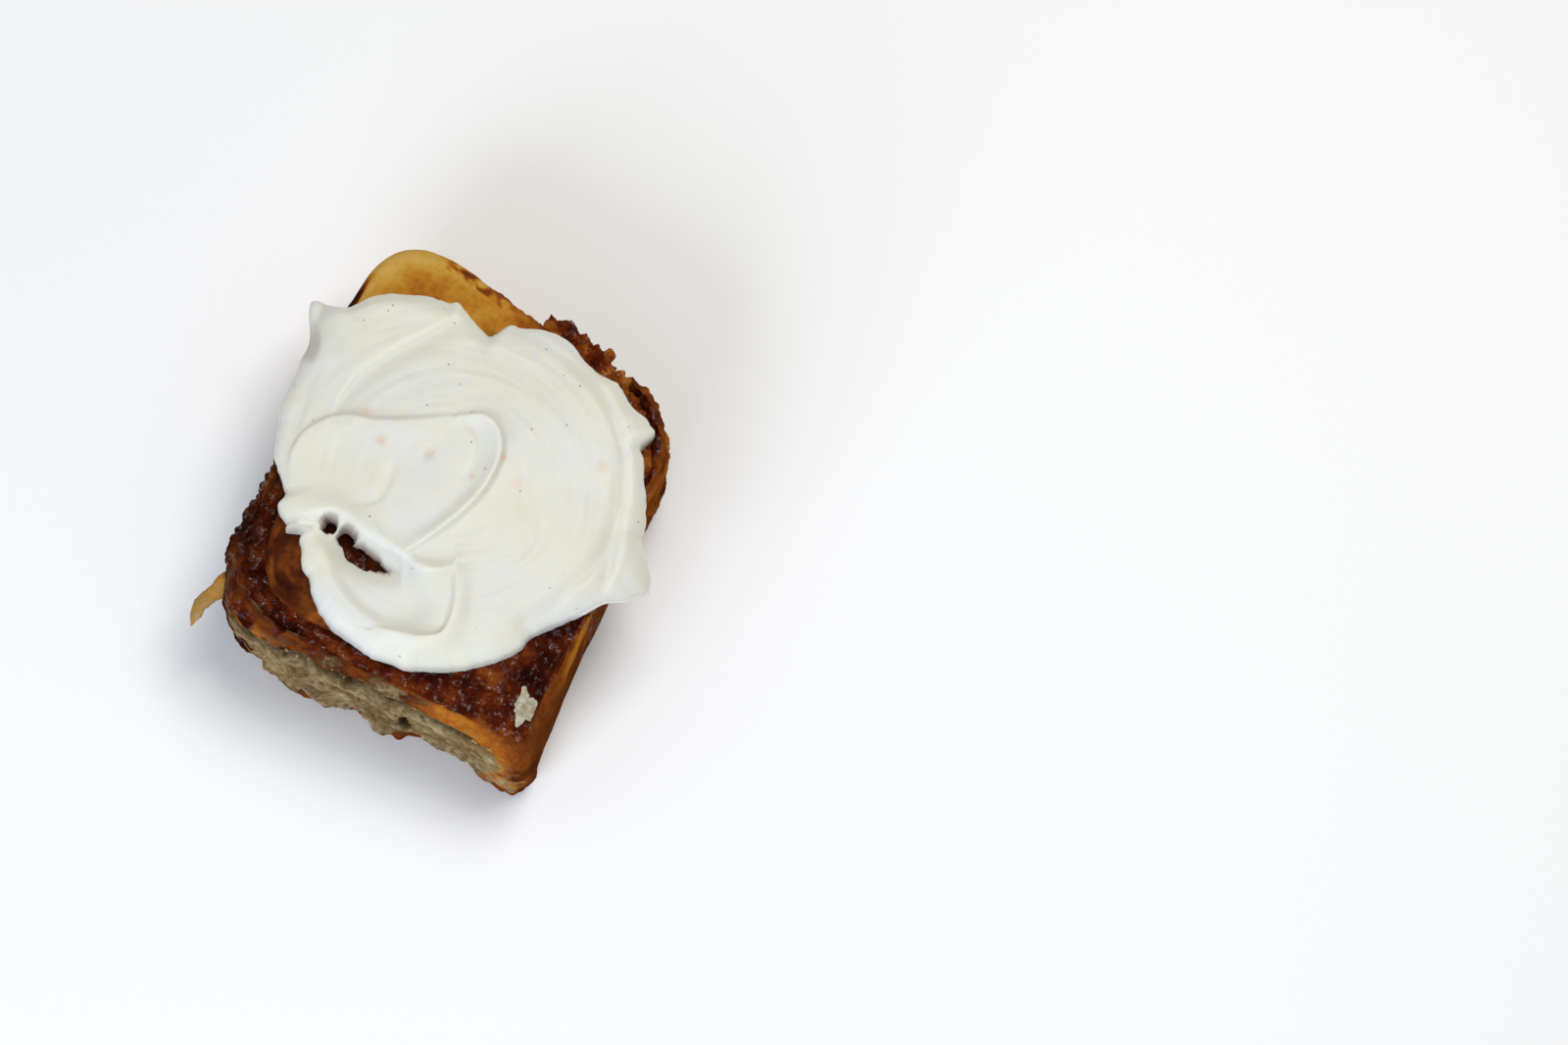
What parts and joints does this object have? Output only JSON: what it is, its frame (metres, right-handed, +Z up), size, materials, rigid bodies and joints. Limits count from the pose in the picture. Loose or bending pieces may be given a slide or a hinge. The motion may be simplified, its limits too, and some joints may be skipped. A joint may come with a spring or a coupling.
{
  "type": "cinnamon roll",
  "caption": "Squarish pan-baked cinnamon roll: a coiled dough strip with a cinnamon filling ribbon between its turns, spread with thick vanilla frosting.",
  "frame": {"origin": "middle of the underside: the centre of the bounding box across X and Y, at the height of the flat base", "axes": "+Z up through the frosting, +Y along the roll's longer side, +X towards the smooth side that the frosting overhangs"},
  "size_m": [0.0994, 0.1054, 0.0456],
  "materials": {
    "baked_dough": "baked, golden to dark brown",
    "cinnamon_filling": "glossy dark caramel",
    "vanilla_frosting": "satin, smoothed by a spatula",
    "bread_crumb": "dry and porous"
  },
  "bodies": {
    "root": {"dough": "baked_dough", "cinnamon_filling": "cinnamon_filling", "frosting": "vanilla_frosting", "bread_flake": "bread_crumb"}
  },
  "joints": []
}
